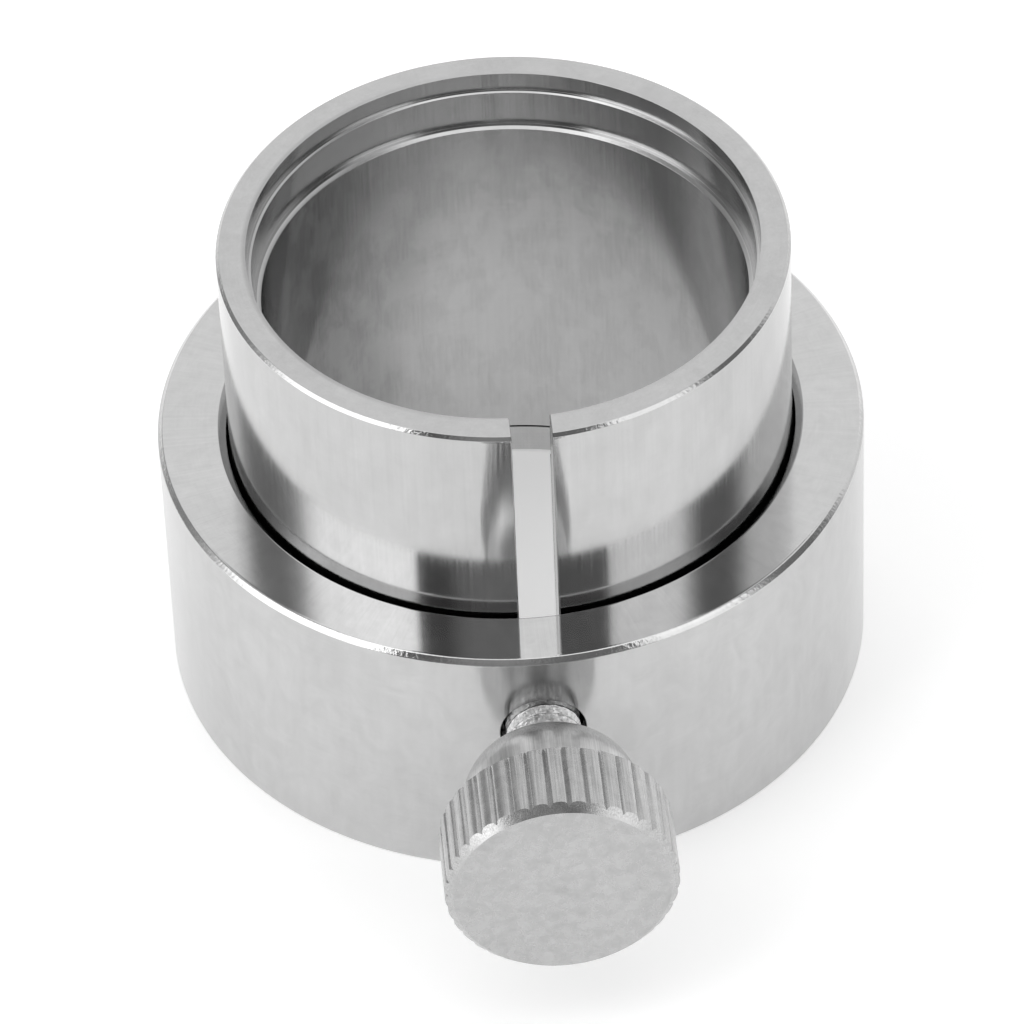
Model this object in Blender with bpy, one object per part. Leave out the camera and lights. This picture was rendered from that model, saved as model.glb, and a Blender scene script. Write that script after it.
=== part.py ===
"""A watch case press: a split sleeve with a stepped mouth stands in a thick ring, and a knurled
thumbscrew through the ring's wall presses on the two lips of the sleeve's slot.

The origin is on the ring's axis, in the plane of its foot. +Z is up and the thumbscrew points
along -Y. Sizes are in metres, written in millimetres times MM.
"""

import math

import bmesh
import bpy
from mathutils import Vector

MM = 0.001

# Base ring
RING_WALL = 5.35 * MM
RING_HEIGHT = 23.3 * MM
RING_TOP_CHAMFER = 0.4 * MM
RING_MOUTH_CHAMFER = 0.45 * MM
FLANGE_THICKNESS = 3.0 * MM
FLANGE_WIDTH = 3.45 * MM
FLANGE_FOOT_CHAMFER = 0.35 * MM
EDGE_BREAK = 0.1 * MM

# Split sleeve
SLEEVE_OUTER_R = 23.0 * MM
SLEEVE_LENGTH = 38.6 * MM
SLEEVE_WALL = 3.4 * MM
SLEEVE_TOP_CHAMFER = 0.22 * MM
STEP_WIDTH = 0.63 * MM
STEP_DEPTH = 5.0 * MM
MOUTH_WIDTH = 0.37 * MM
MOUTH_DEPTH = 1.67 * MM
SLOT_WIDTH = 3.2 * MM
SLOT_TURN = math.radians(0.9)

# Thumbscrew
SCREW_DROP = 7.9 * MM
THREAD_R = 3.0 * MM
TIP_TAPER_WIDTH = 0.7 * MM
TIP_TAPER_LENGTH = 0.8 * MM
NECK_LENGTH = 2.35 * MM
SOCKET_DEPTH = 6.5 * MM
BOSS_LIP_WIDTH = 0.4 * MM
BOSS_WALL = 4.0 * MM
BOSS_LENGTH = 7.9 * MM
SHOULDER_RADIUS = 4.5 * MM
HEAD_OVERHANG = 2.15 * MM
HEAD_LENGTH = 7.15 * MM
HEAD_CHAMFER = 0.65 * MM
FLUTES = 38
FLUTE_DEPTH = 0.45 * MM
COUNTERSINK_WIDTH = 0.35 * MM
COUNTERSINK_DEPTH = 0.6 * MM

# Fits
SLEEVE_CLEARANCE = 0.45 * MM
SLEEVE_SET_BACK = 0.15 * MM
SEAT_GAP = 0.3 * MM
TIP_GAP = 0.3 * MM
THREAD_CLEARANCE = 0.1 * MM
SOCKET_CLEARANCE = 0.1 * MM

# Facets of a full turn
BODY_FACETS = 96
STUD_FACETS = 32
FLUTE_FACETS = 4
SHOULDER_STEPS = 5

RING_BORE_R = SLEEVE_OUTER_R + SLEEVE_CLEARANCE
RING_OUTER_R = RING_BORE_R + RING_WALL
FLANGE_BORE_R = RING_BORE_R - FLANGE_WIDTH
SLEEVE_FOOT_Z = FLANGE_THICKNESS + SEAT_GAP
SLEEVE_TOP_Z = SLEEVE_FOOT_Z + SLEEVE_LENGTH
SLEEVE_BORE_R = SLEEVE_OUTER_R - SLEEVE_WALL
STEP_R = SLEEVE_BORE_R + STEP_WIDTH
MOUTH_R = STEP_R + MOUTH_WIDTH
SCREW_Z = RING_HEIGHT - SCREW_DROP
HOLE_R = THREAD_R + THREAD_CLEARANCE
SOCKET_R = THREAD_R + SOCKET_CLEARANCE
BOSS_LIP_R = SOCKET_R + BOSS_LIP_WIDTH
BOSS_R = SOCKET_R + BOSS_WALL
HEAD_R = BOSS_R + HEAD_OVERHANG
TIP_Y = SLEEVE_OUTER_R - SLEEVE_SET_BACK + TIP_GAP
NECK_END = RING_OUTER_R + NECK_LENGTH
BOSS_END = NECK_END + BOSS_LENGTH
FACE_END = BOSS_END + HEAD_LENGTH


def clear_scene():
    for obj in list(bpy.data.objects):
        bpy.data.objects.remove(obj, do_unlink=True)


def steel(name, colour, roughness):
    """A bare metal finish."""
    material = bpy.data.materials.new(name)
    material.use_nodes = True
    shader = material.node_tree.nodes["Principled BSDF"]
    shader.inputs["Base Color"].default_value = (*colour, 1.0)
    shader.inputs["Metallic"].default_value = 1.0
    shader.inputs["Roughness"].default_value = roughness
    material.diffuse_color = (*colour, 1.0)
    return material


def turned_mesh(profile, facets, closed):
    """Spin a profile of (radius, height) points about Z. A closed profile is a ring's section;
    an open one starts and ends on the axis."""
    bm = bmesh.new()
    points = [bm.verts.new((radius, 0.0, height)) for radius, height in profile]
    pairs = list(zip(points, points[1:]))
    if closed:
        pairs.append((points[-1], points[0]))
    edges = [bm.edges.new(pair) for pair in pairs]
    bmesh.ops.spin(bm, geom=points + edges, cent=(0, 0, 0), axis=(0, 0, 1),
                   angle=2 * math.pi, steps=facets, use_merge=True)
    bmesh.ops.remove_doubles(bm, verts=bm.verts, dist=0.001 * MM)
    bmesh.ops.recalc_face_normals(bm, faces=bm.faces)
    return bm


def add_object(name, bm, material):
    """Make the bmesh an object, with round faces smooth and corners sharp."""
    mesh = bpy.data.meshes.new(name)
    bm.to_mesh(mesh)
    bm.free()
    mesh.shade_smooth()
    mesh.set_sharp_from_angle(angle=math.radians(25))
    obj = bpy.data.objects.new(name, mesh)
    bpy.context.scene.collection.objects.link(obj)
    if material:
        obj.data.materials.append(material)
    return obj


def cut(obj, cutter):
    """Subtract a hidden cutter from an object."""
    cutter.hide_render = True
    cutter.display_type = "WIRE"
    boolean = obj.modifiers.new("cut_" + cutter.name, "BOOLEAN")
    boolean.operation = "DIFFERENCE"
    boolean.solver = "EXACT"
    boolean.object = cutter


def point_along_screw(obj):
    """Turn a piece drawn up its own Z so that it points along -Y at the screw's height."""
    obj.location = (0.0, 0.0, SCREW_Z)
    obj.rotation_euler = (math.pi / 2, 0.0, 0.0)


def base_ring():
    """The thick outer ring, turned in one piece with the inner flange that the sleeve stands on."""
    profile = [
        (RING_OUTER_R - EDGE_BREAK, 0.0),
        (RING_OUTER_R, EDGE_BREAK),
        (RING_OUTER_R, RING_HEIGHT - RING_TOP_CHAMFER),
        (RING_OUTER_R - RING_TOP_CHAMFER, RING_HEIGHT),
        (RING_BORE_R + RING_MOUTH_CHAMFER, RING_HEIGHT),
        (RING_BORE_R, RING_HEIGHT - RING_MOUTH_CHAMFER),
        (RING_BORE_R, FLANGE_THICKNESS),
        (FLANGE_BORE_R, FLANGE_THICKNESS),
        (FLANGE_BORE_R, FLANGE_FOOT_CHAMFER),
        (FLANGE_BORE_R + FLANGE_FOOT_CHAMFER, 0.0),
    ]
    bm = turned_mesh(profile, BODY_FACETS, closed=True)
    ring = add_object("base_ring", bm, steel("ring_steel", (0.62, 0.62, 0.62), 0.24))

    inside = FLANGE_BORE_R
    outside = RING_OUTER_R + COUNTERSINK_DEPTH
    hole = [
        (0.0, inside),
        (HOLE_R, inside),
        (HOLE_R, RING_OUTER_R - COUNTERSINK_DEPTH),
        (HOLE_R + 2 * COUNTERSINK_WIDTH, outside),
        (0.0, outside),
    ]
    cutter = add_object("screw_hole_cutter", turned_mesh(hole, STUD_FACETS, closed=False), None)
    point_along_screw(cutter)
    cut(ring, cutter)
    return ring


def split_sleeve():
    """The spring sleeve: two shallow seats in its mouth and one slot from rim to foot."""
    profile = [
        (SLEEVE_OUTER_R - EDGE_BREAK, SLEEVE_FOOT_Z),
        (SLEEVE_OUTER_R, SLEEVE_FOOT_Z + EDGE_BREAK),
        (SLEEVE_OUTER_R, SLEEVE_TOP_Z - SLEEVE_TOP_CHAMFER),
        (SLEEVE_OUTER_R - SLEEVE_TOP_CHAMFER, SLEEVE_TOP_Z),
        (MOUTH_R, SLEEVE_TOP_Z),
        (MOUTH_R, SLEEVE_TOP_Z - MOUTH_DEPTH),
        (STEP_R, SLEEVE_TOP_Z - MOUTH_DEPTH),
        (STEP_R, SLEEVE_TOP_Z - STEP_DEPTH),
        (SLEEVE_BORE_R, SLEEVE_TOP_Z - STEP_DEPTH),
        (SLEEVE_BORE_R, SLEEVE_FOOT_Z + EDGE_BREAK),
        (SLEEVE_BORE_R + EDGE_BREAK, SLEEVE_FOOT_Z),
    ]
    bm = turned_mesh(profile, BODY_FACETS, closed=True)
    sleeve = add_object("split_sleeve", bm, steel("sleeve_steel", (0.62, 0.62, 0.62), 0.22))
    sleeve.location = (0.0, SLEEVE_SET_BACK, 0.0)

    low = Vector((-SLOT_WIDTH / 2, -SLEEVE_OUTER_R - MM, SLEEVE_FOOT_Z - MM))
    high = Vector((SLOT_WIDTH / 2, -SLEEVE_BORE_R / 2, SLEEVE_TOP_Z + MM))
    bm = bmesh.new()
    bmesh.ops.create_cube(bm, size=1.0)
    bmesh.ops.scale(bm, vec=high - low, verts=bm.verts)
    bmesh.ops.translate(bm, vec=(low + high) / 2, verts=bm.verts)
    cutter = add_object("slot_cutter", bm, None)
    cutter.location = sleeve.location
    cutter.rotation_euler = (0.0, 0.0, SLOT_TURN)
    cut(sleeve, cutter)
    return sleeve


def thumbscrew_stud():
    """The threaded shank, from its flat tip at the slot's lips to its end in the head."""
    profile = [
        (0.0, TIP_Y),
        (THREAD_R - TIP_TAPER_WIDTH, TIP_Y),
        (THREAD_R, TIP_Y + TIP_TAPER_LENGTH),
        (THREAD_R, NECK_END + SOCKET_DEPTH - SOCKET_CLEARANCE),
        (0.0, NECK_END + SOCKET_DEPTH - SOCKET_CLEARANCE),
    ]
    bm = turned_mesh(profile, STUD_FACETS, closed=False)
    stud = add_object("thumbscrew_stud", bm, steel("stud_steel", (0.6, 0.6, 0.6), 0.35))
    point_along_screw(stud)
    return stud


def shoulder_arc():
    """Points that round the corner where the boss's 45 degree cone meets its cylinder."""
    corner = NECK_END + BOSS_R - BOSS_LIP_R
    reach = SHOULDER_RADIUS * math.tan(math.radians(22.5))
    centre_r = BOSS_R - SHOULDER_RADIUS
    centre_y = corner + reach
    points = []
    for step in range(SHOULDER_STEPS + 1):
        angle = math.radians(45) * (1 - step / SHOULDER_STEPS)
        points.append((centre_r + SHOULDER_RADIUS * math.cos(angle),
                       centre_y - SHOULDER_RADIUS * math.sin(angle)))
    return points


def flute_radius(angle):
    """Rounded ridges with sharp valleys between them."""
    return HEAD_R - FLUTE_DEPTH * (1 - abs(math.sin(FLUTES * angle / 2)))


def thumbscrew_head():
    """The knurled head with its rounded boss, and the blind socket that holds the stud."""
    face_r = HEAD_R - HEAD_CHAMFER
    profile = [
        (0.0, NECK_END + SOCKET_DEPTH),
        (SOCKET_R, NECK_END + SOCKET_DEPTH),
        (SOCKET_R, NECK_END),
        (BOSS_LIP_R, NECK_END),
        *shoulder_arc(),
        (BOSS_R, BOSS_END),
        (face_r, BOSS_END),
        (HEAD_R, BOSS_END + HEAD_CHAMFER),
        (HEAD_R, FACE_END - HEAD_CHAMFER),
        (face_r, FACE_END),
        (0.0, FACE_END),
    ]
    bm = turned_mesh(profile, FLUTES * FLUTE_FACETS, closed=False)
    middle = (BOSS_END + FACE_END) / 2
    for vert in bm.verts:
        radius = math.hypot(vert.co.x, vert.co.y)
        if radius < (face_r + HEAD_R) / 2:
            continue
        # Both chamfers meet the bottom of a flute nearer the end of the head.
        fluted = flute_radius(math.atan2(vert.co.y, vert.co.x))
        inset = fluted - face_r
        vert.co.x *= fluted / radius
        vert.co.y *= fluted / radius
        vert.co.z = BOSS_END + inset if vert.co.z < middle else FACE_END - inset
    head = add_object("thumbscrew_head", bm, steel("head_steel", (0.6, 0.6, 0.6), 0.3))
    point_along_screw(head)
    return head


clear_scene()
base_ring()
split_sleeve()
thumbscrew_stud()
thumbscrew_head()
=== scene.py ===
"""The finished look of a watch case press: thick base ring, split sleeve and knurled thumbscrew."""

import math

import bmesh
import bpy
from mathutils import Matrix, Vector


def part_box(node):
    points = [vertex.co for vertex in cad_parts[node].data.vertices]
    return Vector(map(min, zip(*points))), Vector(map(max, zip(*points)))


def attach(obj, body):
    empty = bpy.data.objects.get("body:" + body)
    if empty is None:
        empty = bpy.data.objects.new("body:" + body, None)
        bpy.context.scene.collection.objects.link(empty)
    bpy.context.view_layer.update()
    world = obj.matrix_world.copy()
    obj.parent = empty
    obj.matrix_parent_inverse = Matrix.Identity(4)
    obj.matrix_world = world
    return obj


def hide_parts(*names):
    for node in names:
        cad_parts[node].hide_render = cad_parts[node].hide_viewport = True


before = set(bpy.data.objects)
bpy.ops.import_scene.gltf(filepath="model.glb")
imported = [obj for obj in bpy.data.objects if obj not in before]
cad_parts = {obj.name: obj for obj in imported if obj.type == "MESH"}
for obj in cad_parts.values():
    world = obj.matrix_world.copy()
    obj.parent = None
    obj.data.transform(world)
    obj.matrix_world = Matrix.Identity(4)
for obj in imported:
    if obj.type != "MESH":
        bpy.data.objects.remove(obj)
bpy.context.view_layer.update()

MM = 0.001

# ---------------------------------------------------------------------------------------------
# Base ring: a thick ring of stainless steel, turned in one piece with the narrow flange inside
# its foot that carries the sleeve. Its wall and top are finely ground, its edges are broken, and
# one tapped hole goes through the wall for the thumbscrew.
# ---------------------------------------------------------------------------------------------

ring_low, ring_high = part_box("base_ring")
sleeve_low, sleeve_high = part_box("split_sleeve")
stud_low, stud_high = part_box("thumbscrew_stud")

RING_OUTER_R = ring_high.x
RING_TOP = ring_high.z
RING_FOOT = ring_low.z
SLEEVE_OUTER_R = sleeve_high.x
SLEEVE_CLEARANCE = 0.2 * MM
RING_BORE_R = SLEEVE_OUTER_R + SLEEVE_CLEARANCE
SEAT_GAP = 0.3 * MM
FLANGE_TOP = sleeve_low.z - SEAT_GAP
FLANGE_WIDTH = 3.2 * MM
FLANGE_BORE_R = RING_BORE_R - FLANGE_WIDTH
TOP_CHAMFER = 0.4 * MM
MOUTH_CHAMFER = 0.64 * MM
FOOT_CHAMFER = 0.35 * MM
FOOT_EDGE = 0.1 * MM
RING_EDGE = 0.1 * MM
RING_FACETS = 480

SCREW_Z = (stud_low.z + stud_high.z) / 2
STUD_R = stud_high.x
THREAD_CLEARANCE = 0.1 * MM
HOLE_R = STUD_R + THREAD_CLEARANCE
COUNTERSINK_WIDTH = 0.4 * MM
COUNTERSINK_DEPTH = 1.4 * MM
HOLE_FACETS = 128

FULL_TURN = 2 * math.pi
MERGE_DISTANCE = 0.0005 * MM
SHARP_EDGE = math.radians(20)
ROUND_CORNER = math.radians(4)


def turn(profile, facets, closed, start=0.0, angle=FULL_TURN):
    """Spin (radius, height) points about Z, counted from the side that faces -Y."""
    bm = bmesh.new()
    side = Matrix.Rotation(start, 3, "Z") @ Vector((0, -1, 0))
    points = [bm.verts.new(side * radius + Vector((0, 0, height))) for radius, height in profile]
    edges = [bm.edges.new(pair) for pair in zip(points, points[1:])]
    if closed:
        edges.append(bm.edges.new((points[-1], points[0])))
    bmesh.ops.spin(bm, geom=points + edges, cent=(0, 0, 0), axis=(0, 0, 1), angle=angle,
                   steps=facets, use_merge=angle == FULL_TURN)
    bmesh.ops.remove_doubles(bm, verts=bm.verts, dist=MERGE_DISTANCE)
    bmesh.ops.recalc_face_normals(bm, faces=bm.faces)
    return bm


def break_edges(bm, width, chosen=lambda edge: True, segments=4):
    """Round the chosen sharp edges a little, as a file or a stone leaves them."""
    sharp = [edge for edge in bm.edges if len(edge.link_faces) == 2
             and edge.calc_face_angle() > SHARP_EDGE and chosen(edge)]
    bmesh.ops.bevel(bm, geom=sharp, offset=width, offset_type="OFFSET", affect="EDGES",
                    segments=segments, profile=0.5, material=-1, clamp_overlap=True)


def shade(mesh, corner):
    """Smooth where the piece is round, sharp at edges that turn by more than the corner."""
    mesh.shade_smooth()
    mesh.set_sharp_from_angle(angle=corner)


def finished(name, bm, place=Matrix.Identity(4), corner=ROUND_CORNER):
    """Make the bmesh an object in its place."""
    bmesh.ops.transform(bm, matrix=place, verts=bm.verts)
    mesh = bpy.data.meshes.new(name)
    bm.to_mesh(mesh)
    bm.free()
    shade(mesh, corner)
    piece = bpy.data.objects.new(name, mesh)
    bpy.context.scene.collection.objects.link(piece)
    return piece


def drill(piece, bm, place):
    """Subtract a closed shape from a piece, and leave no modifier behind."""
    cutter = finished("cutter", bm, place)
    boolean = piece.modifiers.new("drill", "BOOLEAN")
    boolean.operation = "DIFFERENCE"
    boolean.solver = "EXACT"
    boolean.object = cutter
    evaluated = piece.evaluated_get(bpy.context.evaluated_depsgraph_get())
    cut_mesh = bpy.data.meshes.new_from_object(evaluated)
    piece.modifiers.clear()
    piece.data = cut_mesh
    cut_mesh.name = piece.name
    shade(cut_mesh, ROUND_CORNER)
    bpy.data.objects.remove(cutter)


def along_screw():
    """The place of a piece that is modelled up its own Z and points along -Y at the screw's height."""
    return Matrix.Translation((0, 0, SCREW_Z)) @ Matrix.Rotation(math.pi / 2, 4, "X")


ring_bm = turn([
    (RING_OUTER_R - FOOT_EDGE, RING_FOOT),
    (RING_OUTER_R, RING_FOOT + FOOT_EDGE),
    (RING_OUTER_R, RING_TOP - TOP_CHAMFER),
    (RING_OUTER_R - TOP_CHAMFER, RING_TOP),
    (RING_BORE_R + MOUTH_CHAMFER, RING_TOP),
    (RING_BORE_R, RING_TOP - MOUTH_CHAMFER),
    (RING_BORE_R, FLANGE_TOP),
    (FLANGE_BORE_R, FLANGE_TOP),
    (FLANGE_BORE_R, RING_FOOT + FOOT_CHAMFER),
    (FLANGE_BORE_R + FOOT_CHAMFER, RING_FOOT),
], RING_FACETS, closed=True)
break_edges(ring_bm, RING_EDGE)
ring = finished("ring_body", ring_bm)
hole_end = RING_OUTER_R + COUNTERSINK_DEPTH
drill(ring, turn([
    (0.0, FLANGE_BORE_R),
    (HOLE_R, FLANGE_BORE_R),
    (HOLE_R, RING_OUTER_R - COUNTERSINK_DEPTH),
    (HOLE_R + COUNTERSINK_WIDTH, RING_OUTER_R),
    (HOLE_R + COUNTERSINK_WIDTH, hole_end),
    (0.0, hole_end),
], HOLE_FACETS, closed=False), along_screw())


class Wire:
    """A node's output. Sums with it add Math nodes, and node() adds any other node."""

    def __init__(self, tree, socket):
        self.tree = tree
        self.socket = socket

    def node(self, kind, settings=None, inputs=None, output=0):
        made = self.tree.nodes.new(kind)
        for name, value in (settings or {}).items():
            setattr(made, name, value)
        for name, value in (inputs or {}).items():
            if isinstance(value, Wire):
                self.tree.links.new(value.socket, made.inputs[name])
            else:
                made.inputs[name].default_value = value
        return Wire(self.tree, made.outputs[output])

    def math(self, operation, *values):
        return self.node("ShaderNodeMath", {"operation": operation}, dict(enumerate(values)))

    def __add__(self, other):
        return self.math("ADD", self, other)

    def __radd__(self, other):
        return self.math("ADD", other, self)

    def __sub__(self, other):
        return self.math("SUBTRACT", self, other)

    def __rsub__(self, other):
        return self.math("SUBTRACT", other, self)

    def __mul__(self, other):
        return self.math("MULTIPLY", self, other)

    def __rmul__(self, other):
        return self.math("MULTIPLY", other, self)

    def vector(self, operation, other):
        """This place and a second one, or three numbers, joined by a Vector Math node."""
        return self.node("ShaderNodeVectorMath", {"operation": operation}, {0: self, 1: other})

    def part(self, axis):
        """One of the three numbers of a place."""
        return self.node("ShaderNodeSeparateXYZ", {}, {"Vector": self}, output=axis)

    def length(self):
        return self.node("ShaderNodeVectorMath", {"operation": "LENGTH"}, {0: self}, output="Value")

    def ramp(self, low, high):
        """0 below low, 1 above high, and a smooth rise between."""
        return self.node("ShaderNodeMapRange", {"interpolation_type": "SMOOTHSTEP"},
                         {"Value": self, "From Min": low, "From Max": high})

    def stretch(self, x, y, z):
        """A place divided by three lengths in millimetres, as a pattern of that grain reads it."""
        return self.vector("MULTIPLY", (1 / (x * MM), 1 / (y * MM), 1 / (z * MM)))

    def noise(self, detail=2.0, roughness=0.5, distortion=0.0):
        """Noise from 0 to 1 with one lump to each unit of this place."""
        return self.node("ShaderNodeTexNoise", {}, {
            "Vector": self, "Scale": 1.0, "Detail": detail, "Roughness": roughness,
            "Distortion": distortion})


# Turned steel stretches its reflections: how strongly, and the quarter turn that sets the way.
LATHE_SHINE = 0.95
ROUND_THE_AXIS = 0.25
# The marks lie closer together on a flat end than on a wall by this factor.
MARK_SLANT = 1.7


def bare_steel(name, anisotropy):
    """Start a steel finish: its material, its shader and the place that its patterns read."""
    material = bpy.data.materials.new(name)
    material.use_nodes = True
    tree = material.node_tree
    shader = tree.nodes["Principled BSDF"]
    shader.inputs["Metallic"].default_value = 1.0
    shader.inputs["Anisotropic"].default_value = anisotropy
    shader.inputs["Anisotropic Rotation"].default_value = ROUND_THE_AXIS
    coordinates = tree.nodes.new("ShaderNodeTexCoord")
    return material, shader, Wire(tree, coordinates.outputs["Object"])


def feed(shader, name, wire):
    wire.tree.links.new(wire.socket, shader.inputs[name])


def grey(value):
    """A neutral colour from one number."""
    return value.node("ShaderNodeCombineColor", {}, {"Red": value, "Green": value, "Blue": value})


def lathe_place(place):
    """A place whose third number runs across the turning marks, both on walls and on flat ends,
    with the distance from the axis and the height."""
    height = place.part(2)
    radius = place.vector("MULTIPLY", (1, 1, 0)).length()
    lathe = place.node("ShaderNodeCombineXYZ", {}, {
        "X": place.part(0), "Y": place.part(1), "Z": height - MARK_SLANT * radius})
    return lathe, radius, height


def from_screw_axis(place):
    """The distance from the thumbscrew's axis."""
    return place.node("ShaderNodeVectorMath", {"operation": "MULTIPLY_ADD"},
                      {0: place, 1: (1, 0, 1), 2: (0, 0, -SCREW_Z)}).length()


def bumped(shader, layers):
    """Feed the shader's normal with heights in millimetres, one Bump node each."""
    normal = None
    for height, depth in layers:
        inputs = {"Height": height, "Distance": depth * MM, "Strength": 1.0}
        if normal:
            inputs["Normal"] = normal
        normal = height.node("ShaderNodeBump", {}, inputs)
    feed(shader, "Normal", normal)


# Grains are in millimetres: along X, along Y, and up or across the turning marks.
MARK_GRAIN = (7.0, 7.0, 0.12)
RING_BAND_GRAIN = (14.0, 14.0, 0.7)
RING_STREAK_GRAIN = (0.2, 0.2, 18.0)
RING_STAIN_GRAIN = (2.6, 2.6, 3.4)
RING_SMEAR_GRAIN = (1.1, 1.1, 7.0)
RING_PATCH_GRAIN = (9.0, 9.0, 12.0)
NICK_GRAIN = (0.3, 0.3, 0.3)
NICK_REACH = 0.2 * MM
# The scuffs read a direction of length 1, so this is thousandths of a radian.
SCUFF_GRAIN = (6.0, 6.0, 6.0)
WALL_SKIN = 0.3 * MM
WALL_FULL = 0.1 * MM
HOLE_RIM = 0.03 * MM
FRONT_SIDE = -10 * MM
FRONT_END = -5 * MM
RING_TONE = 0.5
RING_STAIN_TONE = 0.12
RING_PATCH_TONE = 0.05
RING_SMEAR_TONE = 0.05
RING_MARK_TONE = 0.05
RING_SCUFF_TONE = 0.09
WALL_SHADE = 0.06
WALL_STREAK_TONE = 0.02
HOLE_SHADE = 0.75
RING_ROUGHNESS = 0.06
RING_STAIN_ROUGHNESS = 0.04
RING_MARK_ROUGHNESS = 0.02
WALL_ROUGHNESS = 0.035
WALL_STREAK_ROUGHNESS = 0.03
PATCH_DEPTH = 0.006
BAND_DEPTH = 0.0004
MARK_DEPTH = 0.00012
RING_STREAK_DEPTH = 0.0002
NICK_DEPTH = 0.02
NOISE_MIDDLE = 0.5


def turning_marks(lathe):
    """The fine marks that a lathe tool leaves."""
    return lathe.stretch(*MARK_GRAIN).noise(detail=4.0, roughness=0.65)


def nicks_on_edge(place, out_and_up, corner):
    """Nicks where an outer top edge has been knocked."""
    nicks = place.stretch(*NICK_GRAIN).noise(detail=4.0)
    return nicks * out_and_up.ramp(corner - NICK_REACH, corner)


def in_front(place):
    """1 on the thumbscrew's side, and 0 on the far side."""
    return 1 - place.part(1).ramp(FRONT_SIDE, FRONT_END)


def ring_finish():
    """Ground stainless steel: fine marks round the ring, faint stains and smears from handling."""
    material, shader, place = bare_steel("ring_ground_steel", LATHE_SHINE)
    lathe, radius, height = lathe_place(place)
    wall = radius.ramp(RING_OUTER_R - WALL_SKIN, RING_OUTER_R - WALL_FULL)
    marks = turning_marks(lathe)
    bands = lathe.stretch(*RING_BAND_GRAIN).noise(detail=1.0)
    streaks = place.stretch(*RING_STREAK_GRAIN).noise(detail=2.0, roughness=0.6)
    stains = place.stretch(*RING_STAIN_GRAIN).noise(detail=7.0, roughness=0.62, distortion=1.2)
    smears = place.stretch(*RING_SMEAR_GRAIN).noise(detail=3.0)
    patches = place.stretch(*RING_PATCH_GRAIN).noise(detail=2.0)
    nicks = nicks_on_edge(place, radius + height, RING_OUTER_R + RING_TOP - TOP_CHAMFER)
    # Painted shade: the tapped hole and its countersink are painted darker, as shade falls inside the
    # hole.
    rim = HOLE_R + COUNTERSINK_WIDTH
    hole = in_front(place) * (1 - from_screw_axis(place).ramp(rim - HOLE_RIM, rim))
    # Faint scuffs run from the mouth to the edge of the top.
    outward = place.vector("MULTIPLY", (1, 1, 0))
    outward = outward.node("ShaderNodeVectorMath", {"operation": "NORMALIZE"}, {0: outward})
    scuffs = outward.stretch(*SCUFF_GRAIN).noise(detail=3.0, roughness=0.7) - NOISE_MIDDLE
    # Painted shade: the outer wall is painted darker than the top; the lighter streaks in it are
    # grinding marks.
    tone = (RING_TONE + RING_STAIN_TONE * stains + RING_PATCH_TONE * patches
            + RING_SMEAR_TONE * smears - RING_MARK_TONE * marks
            + RING_SCUFF_TONE * scuffs * (1 - wall) - (WALL_SHADE - WALL_STREAK_TONE * streaks) * wall)
    feed(shader, "Base Color", grey(tone * (1 - HOLE_SHADE * hole)))
    feed(shader, "Roughness", RING_ROUGHNESS + RING_STAIN_ROUGHNESS * stains
         + RING_MARK_ROUGHNESS * marks + (WALL_ROUGHNESS + WALL_STREAK_ROUGHNESS * streaks) * wall)
    bumped(shader, [(patches, PATCH_DEPTH), (bands, BAND_DEPTH), (marks, MARK_DEPTH),
                    (streaks, RING_STREAK_DEPTH), (nicks, NICK_DEPTH)])
    return material


ring.data.materials.append(ring_finish())
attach(ring, "ring")
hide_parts("base_ring")

# ---------------------------------------------------------------------------------------------
# Split sleeve: a thin tube of spring steel that stands on the ring's flange. Its mouth is turned
# out in two shallow seats for a watch case, and one slot is sawn from rim to foot, so that the
# thumbscrew can press its lips together.
# ---------------------------------------------------------------------------------------------

SLEEVE_TOP = sleeve_high.z
SLEEVE_FOOT = sleeve_low.z
SLEEVE_SET_BACK = (sleeve_low.y + sleeve_high.y) / 2
SLEEVE_WALL = 3.4 * MM
STEP_WIDTH = 0.63 * MM
STEP_DEPTH = 5.0 * MM
STEP_EDGE_WIDTH = 0.32 * MM
STEP_EDGE_DEPTH = 0.16 * MM
MOUTH_WIDTH = 0.37 * MM
MOUTH_DEPTH = 1.67 * MM
MOUTH_EDGE_WIDTH = 0.17 * MM
MOUTH_EDGE_DEPTH = 0.09 * MM
SLEEVE_BORE_R = SLEEVE_OUTER_R - SLEEVE_WALL
STEP_R = SLEEVE_BORE_R + STEP_WIDTH
MOUTH_R = STEP_R + MOUTH_WIDTH
RIM_CHAMFER = 0.26 * MM
SLOT_WIDTH = 3.2 * MM
SLOT_TURN = math.radians(0.9)
SLEEVE_EDGE = 0.06 * MM
SLOT_EDGE = 0.1 * MM
SLOT_EDGE_LEAST = 1 * MM
SLEEVE_FACETS = 468

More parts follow.
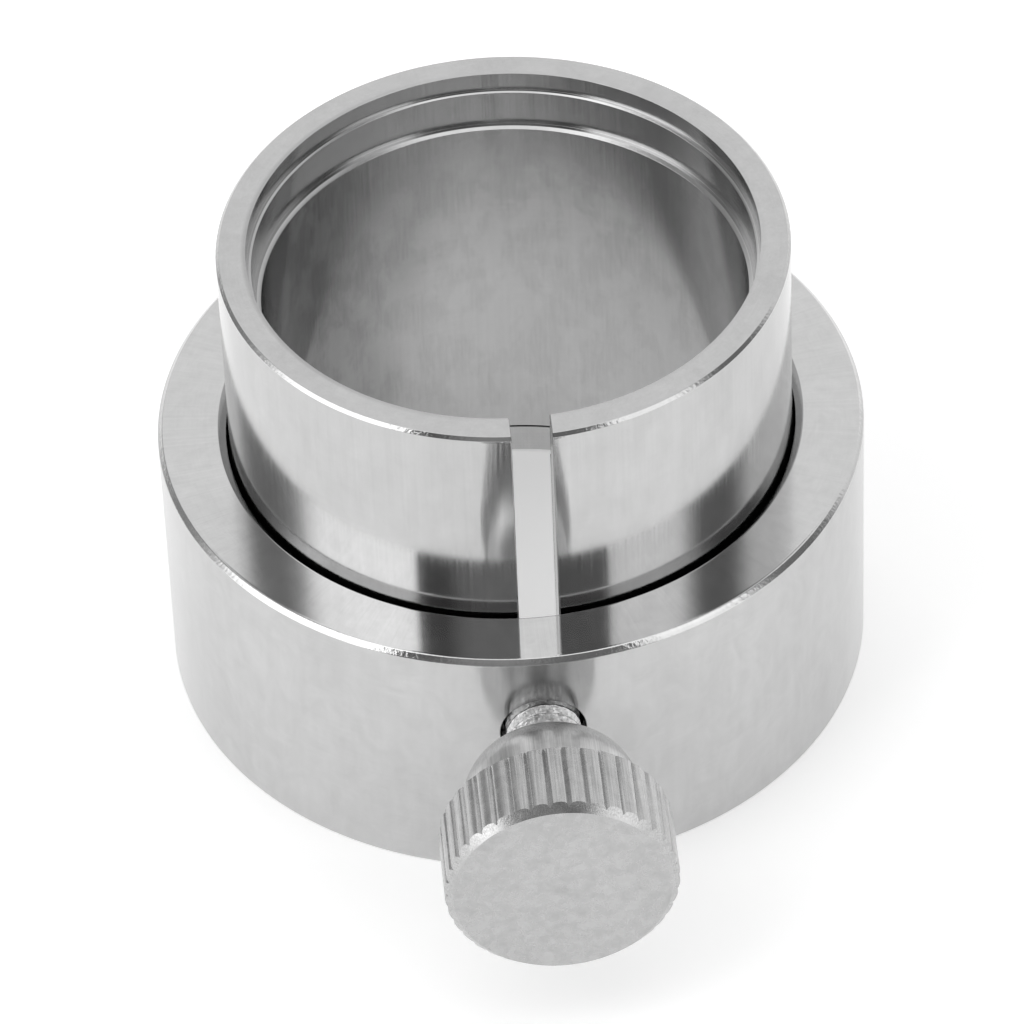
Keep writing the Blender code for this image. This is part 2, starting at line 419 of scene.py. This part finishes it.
slot_half_angle = math.asin(SLOT_WIDTH / 2 / ((SLEEVE_OUTER_R + SLEEVE_BORE_R) / 2))
sleeve_bm = turn([
    (SLEEVE_OUTER_R - FOOT_EDGE, SLEEVE_FOOT),
    (SLEEVE_OUTER_R, SLEEVE_FOOT + FOOT_EDGE),
    (SLEEVE_OUTER_R, SLEEVE_TOP - RIM_CHAMFER),
    (SLEEVE_OUTER_R - RIM_CHAMFER, SLEEVE_TOP),
    (MOUTH_R, SLEEVE_TOP),
    (MOUTH_R, SLEEVE_TOP - MOUTH_DEPTH),
    (STEP_R + MOUTH_EDGE_WIDTH, SLEEVE_TOP - MOUTH_DEPTH),
    (STEP_R, SLEEVE_TOP - MOUTH_DEPTH - MOUTH_EDGE_DEPTH),
    (STEP_R, SLEEVE_TOP - STEP_DEPTH),
    (SLEEVE_BORE_R + STEP_EDGE_WIDTH, SLEEVE_TOP - STEP_DEPTH),
    (SLEEVE_BORE_R, SLEEVE_TOP - STEP_DEPTH - STEP_EDGE_DEPTH),
    (SLEEVE_BORE_R, SLEEVE_FOOT + FOOT_EDGE),
    (SLEEVE_BORE_R + FOOT_EDGE, SLEEVE_FOOT),
], SLEEVE_FACETS, closed=True, start=slot_half_angle, angle=FULL_TURN - 2 * slot_half_angle)

# The two ends are moved onto the slot's flat sides and closed.
for side in (-1, 1):
    ends = [edge for edge in sleeve_bm.edges
            if edge.is_boundary and all(vert.co.x * side > 0 for vert in edge.verts)]
    for vert in {vert for edge in ends for vert in edge.verts}:
        radius = math.hypot(vert.co.x, vert.co.y)
        vert.co.x = side * SLOT_WIDTH / 2
        vert.co.y = -math.sqrt(radius ** 2 - vert.co.x ** 2)
    bmesh.ops.edgeloop_fill(sleeve_bm, edges=ends)
bmesh.ops.recalc_face_normals(sleeve_bm, faces=sleeve_bm.faces)


def up_slot(edge):
    """An edge that the saw left along the slot."""
    run = edge.verts[0].co - edge.verts[1].co
    at = edge.verts[0].co
    return abs(run.z) > SLOT_EDGE_LEAST and abs(at.x) < SLOT_WIDTH and at.y < 0


break_edges(sleeve_bm, SLOT_EDGE, up_slot)
break_edges(sleeve_bm, SLEEVE_EDGE)
sleeve_place = Matrix.Translation((0, SLEEVE_SET_BACK, 0)) @ Matrix.Rotation(SLOT_TURN, 4, "Z")
sleeve = finished("sleeve_body", sleeve_bm, sleeve_place)


SLEEVE_BAND_GRAIN = (14.0, 14.0, 0.6)
SLEEVE_STREAK_GRAIN = (0.2, 0.2, 30.0)
SLEEVE_SMEAR_GRAIN = (0.9, 0.9, 8.0)
SLEEVE_STAIN_GRAIN = (2.6, 2.6, 4.0)
SLEEVE_PATCH_GRAIN = (9.0, 9.0, 14.0)
CHATTER_GRAIN = (0.22, 0.22, 2.5)
CHATTER_FROM = 0.4
CHATTER_FULL = 0.6
BORE_SKIN = 0.1 * MM
BORE_FADE = 0.5 * MM
SEAT_FADE = 0.3 * MM
BORE_SHADE_WANDER = 8 * MM
BORE_SHADE_LEFT = -17.5 * MM
BORE_SHADE_RIGHT = -1 * MM
BORE_SHADE_LOW = 16 * MM
BORE_SHADE_HIGH = 36 * MM
BORE_SHADE_BASE = 0.45
BORE_SHADE_RIGHTWARD_LOSS = 0.62
BORE_CHATTER_TONE = 0.2
BORE_SHADE_RISE = 0.2
BORE_SHADE_SEAT_LOSS = 0.7
SLOT_SKIN = 0.02 * MM
SLOT_FADE = 0.07 * MM
SLOT_SHADE = 0.55
SLEEVE_TONE = 0.41
SLEEVE_STAIN_TONE = 0.12
SLEEVE_PATCH_TONE = 0.05
SLEEVE_SMEAR_TONE = 0.05
SLEEVE_MARK_TONE = 0.04
SLEEVE_STREAK_TONE = 0.05
SLEEVE_ROUGHNESS = 0.02
SLEEVE_STAIN_ROUGHNESS = 0.03
SLEEVE_STREAK_ROUGHNESS = 0.1
SLEEVE_MARK_ROUGHNESS = 0.02
BORE_STAIN_ROUGHNESS = 0.1
SLEEVE_STREAK_DEPTH = 0.0003
BORE_STREAKS = 6


def sleeve_finish():
    """Turned spring steel, cleaner than the ring, with long smears up its walls."""
    material, shader, place = bare_steel("sleeve_turned_steel", LATHE_SHINE)
    place = place.vector("SUBTRACT", (0, SLEEVE_SET_BACK, 0))
    lathe, radius, height = lathe_place(place)
    marks = turning_marks(lathe)
    bands = lathe.stretch(*SLEEVE_BAND_GRAIN).noise(detail=1.0)
    streaks = place.stretch(*SLEEVE_STREAK_GRAIN).noise(detail=2.0, roughness=0.6)
    smears = place.stretch(*SLEEVE_SMEAR_GRAIN).noise(detail=3.0)
    stains = place.stretch(*SLEEVE_STAIN_GRAIN).noise(detail=7.0, roughness=0.62, distortion=0.3)
    patches = place.stretch(*SLEEVE_PATCH_GRAIN).noise(detail=2.0)
    chatter = place.stretch(*CHATTER_GRAIN).noise(detail=2.0, roughness=0.6)
    chatter = chatter * stains.ramp(CHATTER_FROM, CHATTER_FULL)
    nicks = nicks_on_edge(place, radius + height, SLEEVE_OUTER_R + SLEEVE_TOP - RIM_CHAMFER)
    # Painted shade and real stain in the bore: darker below the seats, towards -X and higher up,
    # painted lighter towards +X, with chatter marks where it is stained.
    bore = 1 - radius.ramp(MOUTH_R + BORE_SKIN, MOUTH_R + BORE_FADE)
    seat = height.ramp(SLEEVE_TOP - STEP_DEPTH - SEAT_FADE, SLEEVE_TOP - STEP_DEPTH)
    across = place.part(0)
    left = across + BORE_SHADE_WANDER * (patches - NOISE_MIDDLE)
    bore_shade_and_stain = bore * (1 - BORE_SHADE_SEAT_LOSS * seat) * (
        BORE_SHADE_BASE - BORE_SHADE_RIGHTWARD_LOSS * left.ramp(BORE_SHADE_LEFT, BORE_SHADE_RIGHT) + BORE_CHATTER_TONE * chatter
        + BORE_SHADE_RISE * height.ramp(BORE_SHADE_LOW, BORE_SHADE_HIGH))
    # Painted shade: the slot's two sides are painted darker, the shade of the narrow slot together
    # with the saw's dull finish.
    aside = across.math("ABSOLUTE", across - SLEEVE_OUTER_R * math.sin(SLOT_TURN))
    slot = 1 - aside.ramp(SLOT_WIDTH / 2 + SLOT_SKIN, SLOT_WIDTH / 2 + SLOT_FADE)
    slot = slot * in_front(place)
    tone = (SLEEVE_TONE + SLEEVE_STAIN_TONE * stains + SLEEVE_PATCH_TONE * patches
            + SLEEVE_SMEAR_TONE * smears - SLEEVE_MARK_TONE * marks + SLEEVE_STREAK_TONE * streaks)
    feed(shader, "Base Color", grey(tone * (1 - bore_shade_and_stain) * (1 - SLOT_SHADE * slot)))
    feed(shader, "Roughness", SLEEVE_ROUGHNESS + SLEEVE_STAIN_ROUGHNESS * stains
         + SLEEVE_STREAK_ROUGHNESS * streaks + SLEEVE_MARK_ROUGHNESS * marks
         + BORE_STAIN_ROUGHNESS * bore * stains)
    bumped(shader, [(patches, PATCH_DEPTH), (bands, BAND_DEPTH), (marks, MARK_DEPTH),
                    (streaks * (1 + BORE_STREAKS * bore), SLEEVE_STREAK_DEPTH), (nicks, NICK_DEPTH)])
    return material


sleeve.data.materials.append(sleeve_finish())
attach(sleeve, "sleeve")
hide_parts("split_sleeve")

# ---------------------------------------------------------------------------------------------
# Thumbscrew stud: a screw of 6 mm with a 1 mm pitch, cut with a die and left rough. Its tapered
# tip meets the sleeve at the slot, and its other end is fixed in the head.
# ---------------------------------------------------------------------------------------------

THREAD_PITCH = 1.0 * MM
THREAD_DEPTH = 0.5 * MM
CREST_WIDTH = 0.15
FLANK_WIDTH = 0.7
ROOT_ROUNDING = 0.9
STEPS_PER_PITCH = 20
STUD_FACETS = 96
THREAD_CORNER = math.radians(30)
TIP_TAPER_WIDTH = 0.7 * MM
TIP_TAPER_LENGTH = 0.8 * MM
stud_start = -stud_high.y
stud_end = -stud_low.y
stud_rings = round((stud_end - stud_start) / THREAD_PITCH * STEPS_PER_PITCH)

stud_profile = [(0.0, stud_start)]
for step in range(stud_rings + 1):
    stud_profile.append((STUD_R, stud_start + (stud_end - stud_start) * step / stud_rings))
stud_profile.append((0.0, stud_end))
stud_bm = turn(stud_profile, STUD_FACETS, closed=False)
for vert in stud_bm.verts:
    radius = math.hypot(vert.co.x, vert.co.y)
    if radius < STUD_R / 2:
        continue
    # Right-hand thread: flat crests, straight flanks and rounded roots, as shares of half a pitch.
    turned = vert.co.z / THREAD_PITCH - math.atan2(vert.co.y, vert.co.x) / FULL_TURN
    across = abs(2 * (turned - math.floor(turned)) - 1)
    cut = THREAD_DEPTH * min(1.0, max(0.0, (across - CREST_WIDTH) / FLANK_WIDTH)) ** ROOT_ROUNDING
    taper = TIP_TAPER_WIDTH * max(0.0, 1 - (vert.co.z - stud_start) / TIP_TAPER_LENGTH)
    wanted = min(STUD_R - cut, STUD_R - taper)
    vert.co.x *= wanted / radius
    vert.co.y *= wanted / radius
stud = finished("stud_body", stud_bm, along_screw(), THREAD_CORNER)


TEAR_GRAIN = (0.3, 1.6, 0.3)
BLOTCH_GRAIN = (1.0, 1.0, 1.0)
TEAR_FROM = 0.2
TEAR_FULL = 0.7
STUD_TONE = 0.36
TEAR_TONE = 0.3
BLOTCH_TONE = 0.1
STUD_ROUGHNESS = 0.2
BLOTCH_ROUGHNESS = 0.3
TEAR_DEPTH = 0.12
BLOTCH_DEPTH = 0.12


def stud_finish():
    """Rough cut steel, torn and blotchy on the thread."""
    material, shader, place = bare_steel("stud_cut_steel", anisotropy=0.0)
    tears = place.stretch(*TEAR_GRAIN).noise(detail=3.0, roughness=0.55, distortion=0.4)
    blotches = place.stretch(*BLOTCH_GRAIN).noise(detail=3.0, roughness=0.6)
    feed(shader, "Base Color", grey(STUD_TONE + TEAR_TONE * tears.ramp(TEAR_FROM, TEAR_FULL)
                                    + BLOTCH_TONE * blotches))
    feed(shader, "Roughness", STUD_ROUGHNESS + BLOTCH_ROUGHNESS * blotches)
    bumped(shader, [(blotches, BLOTCH_DEPTH), (tears, TEAR_DEPTH)])
    return material


stud.data.materials.append(stud_finish())
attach(stud, "screw_stud")
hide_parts("thumbscrew_stud")

# ---------------------------------------------------------------------------------------------
# Thumbscrew head: a turned knob with a rounded boss behind it. Straight knurling gives its rim
# rounded ridges with sharp valleys, both ends of the knurl are chamfered, and the face is
# plainly faced off. The stud goes into a blind socket in the boss.
# ---------------------------------------------------------------------------------------------

head_low, head_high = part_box("thumbscrew_head")
HEAD_R = (head_high.z - head_low.z) / 2
NECK_END = -head_high.y
FACE_END = -head_low.y
BOSS_LENGTH = 7.9 * MM
BOSS_END = NECK_END + BOSS_LENGTH
SOCKET_R = STUD_R + THREAD_CLEARANCE
SOCKET_DEPTH = 6.5 * MM
SOCKET_EDGE = 0.08 * MM
BOSS_LIP_WIDTH = 0.4 * MM
BOSS_LIP_R = SOCKET_R + BOSS_LIP_WIDTH
KNURL_STEP = 2.15 * MM
BOSS_R = HEAD_R - KNURL_STEP
CONE_ANGLE = math.radians(45)
SHOULDER_RADIUS = 4.5 * MM
SHOULDER_STEPS = 12
HEAD_CHAMFER = 0.65 * MM
FLUTES = 38
FLUTE_DEPTH = 0.3 * MM
FLUTE_FACETS = 16
RIDGE_ROUND = 0.4
RIDGE_FLAT = 0.6
RIDGE_STEEPNESS = 2.2
KNURL_CORNER = math.radians(20)
FACE_R = HEAD_R - HEAD_CHAMFER
KNURL_MIDDLE = (BOSS_END + FACE_END) / 2
KNURL_END_LEAST = 1 * MM


def shoulder():
    """The arc between the boss's 45 degree cone and its cylinder."""
    corner = NECK_END + BOSS_R - BOSS_LIP_R
    centre_y = corner + SHOULDER_RADIUS * math.tan(CONE_ANGLE / 2)
    centre_r = BOSS_R - SHOULDER_RADIUS
    points = []
    for step in range(SHOULDER_STEPS + 1):
        angle = CONE_ANGLE * (1 - step / SHOULDER_STEPS)
        points.append((centre_r + SHOULDER_RADIUS * math.cos(angle),
                       centre_y - SHOULDER_RADIUS * math.sin(angle)))
    return points


head_bm = turn([
    (0.0, NECK_END + SOCKET_DEPTH),
    (SOCKET_R, NECK_END + SOCKET_DEPTH),
    (SOCKET_R, NECK_END + SOCKET_EDGE),
    (SOCKET_R + SOCKET_EDGE, NECK_END),
    (BOSS_LIP_R, NECK_END),
    *shoulder(),
    (BOSS_R, BOSS_END),
    (FACE_R, BOSS_END),
    (HEAD_R, BOSS_END + HEAD_CHAMFER),
    (HEAD_R, KNURL_MIDDLE),
    (HEAD_R, FACE_END - HEAD_CHAMFER),
    (FACE_R, FACE_END),
    (FACE_R / 2, FACE_END),
    (0.0, FACE_END),
], FLUTES * FLUTE_FACETS, closed=False)
for vert in head_bm.verts:
    radius = math.hypot(vert.co.x, vert.co.y)
    if radius < (FACE_R + HEAD_R) / 2:
        continue
    wave = abs(math.sin(FLUTES * math.atan2(vert.co.y, vert.co.x) / 2))
    ridge = RIDGE_ROUND * wave + RIDGE_FLAT * min(1.0, RIDGE_STEEPNESS * wave)
    fluted = HEAD_R - FLUTE_DEPTH * (1 - ridge)
    # Each chamfer runs further along a ridge than along a valley.
    inset = fluted - FACE_R
    vert.co.x *= fluted / radius
    vert.co.y *= fluted / radius
    if vert.co.z < KNURL_MIDDLE - KNURL_END_LEAST:
        vert.co.z = BOSS_END + inset
    elif vert.co.z > KNURL_MIDDLE + KNURL_END_LEAST:
        vert.co.z = FACE_END - inset
head = finished("head_body", head_bm, along_screw(), KNURL_CORNER)


MOTTLE_GRAIN = (0.9, 0.9, 0.9)
SCRATCH_GRAIN = (0.11, 5.0, 0.11)
HEAD_PATCH_GRAIN = (4.0, 4.0, 4.0)
PIP_R = 0.1 * MM
PIP_FADE = 0.8 * MM
FACE_SKIN = 0.05 * MM
FACE_FADE = 0.2 * MM
BOSS_SKIN = 0.4 * MM
BOSS_FADE = 0.1 * MM
HEAD_TONE = 0.345
MOTTLE_TONE = 0.2
HEAD_PATCH_TONE = 0.05
SCRATCH_TONE = 0.36
BOSS_TONE = 0.02
BOSS_PATCH_TONE = 0.16
PIP_TONE = 0.05
HEAD_ROUGHNESS = 0.2
MOTTLE_ROUGHNESS = 0.14
SCRATCH_ROUGHNESS = 0.08
BOSS_ROUGHNESS = 0.05
HEAD_PATCH_DEPTH = 0.01
MOTTLE_DEPTH = 0.003
SCRATCH_DEPTH = 0.007


def head_finish():
    """Turned steel with scratches along the knurl, a faint mottle on the faced end and the small
    pip that the facing tool left in its middle."""
    material, shader, place = bare_steel("head_knurled_steel", anisotropy=0.0)
    out = place.part(1)
    mottle = place.stretch(*MOTTLE_GRAIN).noise(detail=4.0, roughness=0.6, distortion=0.6)
    patches = place.stretch(*HEAD_PATCH_GRAIN).noise(detail=2.0)
    scratches = place.stretch(*SCRATCH_GRAIN).noise(detail=1.0) - NOISE_MIDDLE
    scratches = scratches * out.ramp(-FACE_END + FACE_SKIN, -FACE_END + FACE_FADE)
    boss = out.ramp(-BOSS_END - BOSS_SKIN, -BOSS_END + BOSS_FADE)
    pip = 1 - from_screw_axis(place).ramp(PIP_R, PIP_FADE)
    feed(shader, "Base Color", grey(
        HEAD_TONE + MOTTLE_TONE * mottle + HEAD_PATCH_TONE * patches - SCRATCH_TONE * scratches
        + boss * (BOSS_TONE + BOSS_PATCH_TONE * patches) - PIP_TONE * pip))
    feed(shader, "Roughness", HEAD_ROUGHNESS + MOTTLE_ROUGHNESS * mottle
         + SCRATCH_ROUGHNESS * scratches + BOSS_ROUGHNESS * boss)
    bumped(shader, [(patches, HEAD_PATCH_DEPTH), (mottle, MOTTLE_DEPTH), (scratches, SCRATCH_DEPTH)])
    return material


head.data.materials.append(head_finish())
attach(head, "screw_head")
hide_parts("thumbscrew_head")

# ---------------------------------------------------------------------------------------------
# Studio: a white floor under a pale tent. The tent has a soft box on each side of the camera and
# a light overhead. It is open, so dark, behind the camera and at places around the object.
# ---------------------------------------------------------------------------------------------

FLOOR_RADIUS = 1.6
FLOOR_FACETS = 96
FLOOR_GREY = (0.8, 0.8, 0.8, 1.0)
FLOOR_ROUGHNESS = 0.6
FLOOR_GLOW = 0.38
WHITE = (1.0, 1.0, 1.0, 1.0)

floor_bm = bmesh.new()
bmesh.ops.create_circle(floor_bm, cap_ends=True, radius=FLOOR_RADIUS, segments=FLOOR_FACETS)
floor = finished("floor", floor_bm)
floor_paint = bpy.data.materials.new("white_floor")
floor_paint.use_nodes = True
floor_shader = floor_paint.node_tree.nodes["Principled BSDF"]
floor_shader.inputs["Base Color"].default_value = FLOOR_GREY
floor_shader.inputs["Roughness"].default_value = FLOOR_ROUGHNESS
floor_shader.inputs["Emission Color"].default_value = WHITE
floor_shader.inputs["Emission Strength"].default_value = FLOOR_GLOW
floor.data.materials.append(floor_paint)

world = bpy.data.worlds.new("tent")
world.use_nodes = True
bpy.context.scene.world = world
background = world.node_tree.nodes["Background"]
sky = world.node_tree.nodes.new("ShaderNodeTexCoord")
direction = Wire(world.node_tree, sky.outputs["Generated"])
rise = direction.part(2)
level = direction.vector("MULTIPLY", (1, 1, 0))
level = level.node("ShaderNodeVectorMath", {"operation": "NORMALIZE"}, {0: level})

# Each card: bearing from -Y towards +X, half its width and the softness of its edges in degrees,
# and its brightness beside the tent's own.
CARDS = (
    (-66.5, 28.5, 9, 2.3),
    (53, 16, 10, 1.55),
    (-5, 39.5, 0.7, 0.2),
    (-35, 7, 4, 0.13),
    (-12, 13, 9, 0.33),
    (-125, 15, 14, 0.33),
    (89, 13, 9, 0.22),
)
CARD_FOOT = math.sin(math.radians(4))
CARD_HEAD = math.sin(math.radians(72))
CARD_SOFTNESS = 0.05
OVERHEAD_LIGHT = 0.4
OVERHEAD_EDGE = math.sin(math.radians(62))
OVERHEAD_FULL = math.sin(math.radians(74))
light = 1.0
for bearing, half_width, softness, brightness in CARDS:
    aim = math.radians(bearing)
    facing = level.node("ShaderNodeVectorMath", {"operation": "DOT_PRODUCT"},
                        {0: level, 1: (math.sin(aim), -math.cos(aim), 0)}, output="Value")
    card = facing.ramp(math.cos(math.radians(half_width + softness)),
                       math.cos(math.radians(half_width - softness)))
    card = card * rise.ramp(CARD_FOOT - CARD_SOFTNESS, CARD_FOOT + CARD_SOFTNESS)
    card = card * (1 - rise.ramp(CARD_HEAD - CARD_SOFTNESS, CARD_HEAD + CARD_SOFTNESS))
    light = light + card * (brightness - light)
light = light + OVERHEAD_LIGHT * rise.ramp(OVERHEAD_EDGE, OVERHEAD_FULL)
background.inputs["Color"].default_value = WHITE
feed(background, "Strength", light)

# ---------------------------------------------------------------------------------------------
# Camera: a long lens that looks down on the mouth and the thumbscrew.
# ---------------------------------------------------------------------------------------------

CAMERA_BEARING = math.radians(-3.149)
CAMERA_ELEVATION = math.radians(43.831)
CAMERA_ROLL = math.radians(-2.4305)
CAMERA_DISTANCE = 632.6 * MM
CAMERA_TARGET = Vector((-0.0545, 2.6519, 9.5952)) * MM
CAMERA_LENS = 267.86
CAMERA_SENSOR = 36.0
CAMERA_NEAREST = 10 * MM

away = Vector((math.sin(CAMERA_BEARING) * math.cos(CAMERA_ELEVATION),
               -math.cos(CAMERA_BEARING) * math.cos(CAMERA_ELEVATION),
               math.sin(CAMERA_ELEVATION)))
camera_data = bpy.data.cameras.new("camera")
camera_data.lens = CAMERA_LENS
camera_data.sensor_width = CAMERA_SENSOR
camera_data.clip_start = CAMERA_NEAREST
camera = bpy.data.objects.new("camera", camera_data)
bpy.context.scene.collection.objects.link(camera)
aimed = away.to_track_quat("Z", "Y").to_matrix().to_4x4()
camera.matrix_world = (Matrix.Translation(CAMERA_TARGET + away * CAMERA_DISTANCE)
                       @ aimed @ Matrix.Rotation(CAMERA_ROLL, 4, "Z"))
bpy.context.scene.camera = camera
bpy.context.scene.view_settings.view_transform = "Standard"
